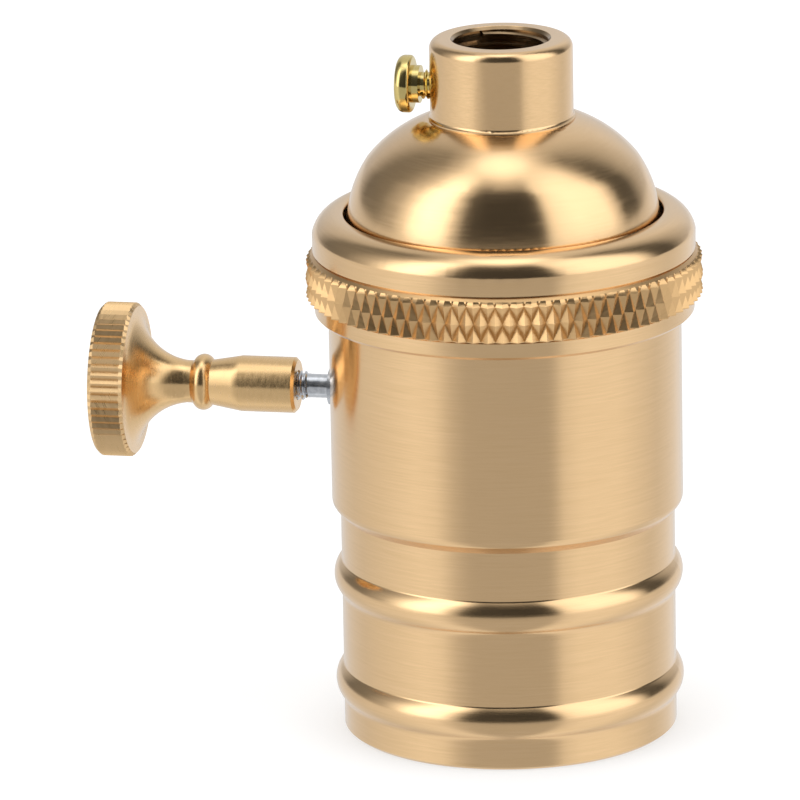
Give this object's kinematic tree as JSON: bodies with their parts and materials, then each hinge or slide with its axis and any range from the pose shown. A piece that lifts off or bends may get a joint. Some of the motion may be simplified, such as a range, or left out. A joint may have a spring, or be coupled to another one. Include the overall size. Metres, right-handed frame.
{
  "type": "lamp holder",
  "caption": "Brass screw-in lamp holder with a turning switch key, knurled ring, domed cap and threaded neck with a set screw.",
  "frame": {"origin": "centre of the open rim where the lamp goes in", "axes": "+Z along the holder's axis from the rim to the neck; the switch key and the set screw point along -X"},
  "size_m": [0.0616, 0.04, 0.0713],
  "materials": {
    "shell": "satin lacquered",
    "ring": "satin, turned, knurled",
    "cap": "satin, spun",
    "neck": "fine turned",
    "set_screw": "polished",
    "knob": "turned, knurled",
    "shaft": "zinc plated",
    "bush": "zinc plated",
    "rotor": "moulded phenolic",
    "contact_brass": "stamped",
    "porcelain": "glazed porcelain",
    "liner": "vulcanised fibre",
    "screw_shell": "rolled sheet",
    "spring_brass": "spring temper",
    "rivets": "plain",
    "steel_screws": "zinc plated"
  },
  "bodies": {
    "holder": {"outer_shell": "shell", "shell_liner": "liner", "porcelain_base": "porcelain", "porcelain_cover": "porcelain", "screw_shell": "screw_shell", "centre_contact": "spring_brass", "centre_rivet": "rivets", "live_rivet": "rivets", "lower_leaf": "spring_brass", "upper_leaf": "spring_brass", "live_terminal": "contact_brass", "neutral_terminal": "contact_brass", "terminal_screws": "steel_screws", "assembly_screws": "steel_screws", "assembly_nuts": "steel_screws", "shaft_bush": "bush"},
    "cap": {"cap_dome": "cap", "neck_collar": "neck"},
    "ring": {"knurled_ring": "ring"},
    "neck_screw": {"set_screw": "set_screw"},
    "key": {"knob": "knob", "switch_shaft": "shaft", "switch_rotor": "rotor", "contact_bridge": "contact_brass"}
  },
  "joints": [
    {"name": "key_turn", "type": "hinge", "parent": "holder", "child": "key", "pos_m": [-0.03, 0, 0.0345], "axis": [-1, 0, 0], "continuous": true},
    {"name": "cap_lift", "type": "slide", "parent": "holder", "child": "cap", "axis": [0, 0, 1], "range_m": [0, 0.005]},
    {"name": "ring_turn", "type": "hinge", "parent": "cap", "child": "ring", "pos_m": [0, 0, 0.048], "axis": [0, 0, 1], "range_deg": [0, 1800]},
    {"name": "set_screw_travel", "type": "slide", "parent": "cap", "child": "neck_screw", "axis": [1, 0, 0], "range_m": [-0.0015, 0.0009]}
  ],
  "couplings": [
    {"joint": "cap_lift", "follows": "ring_turn", "m_per_rad": 0.00015915}
  ]
}
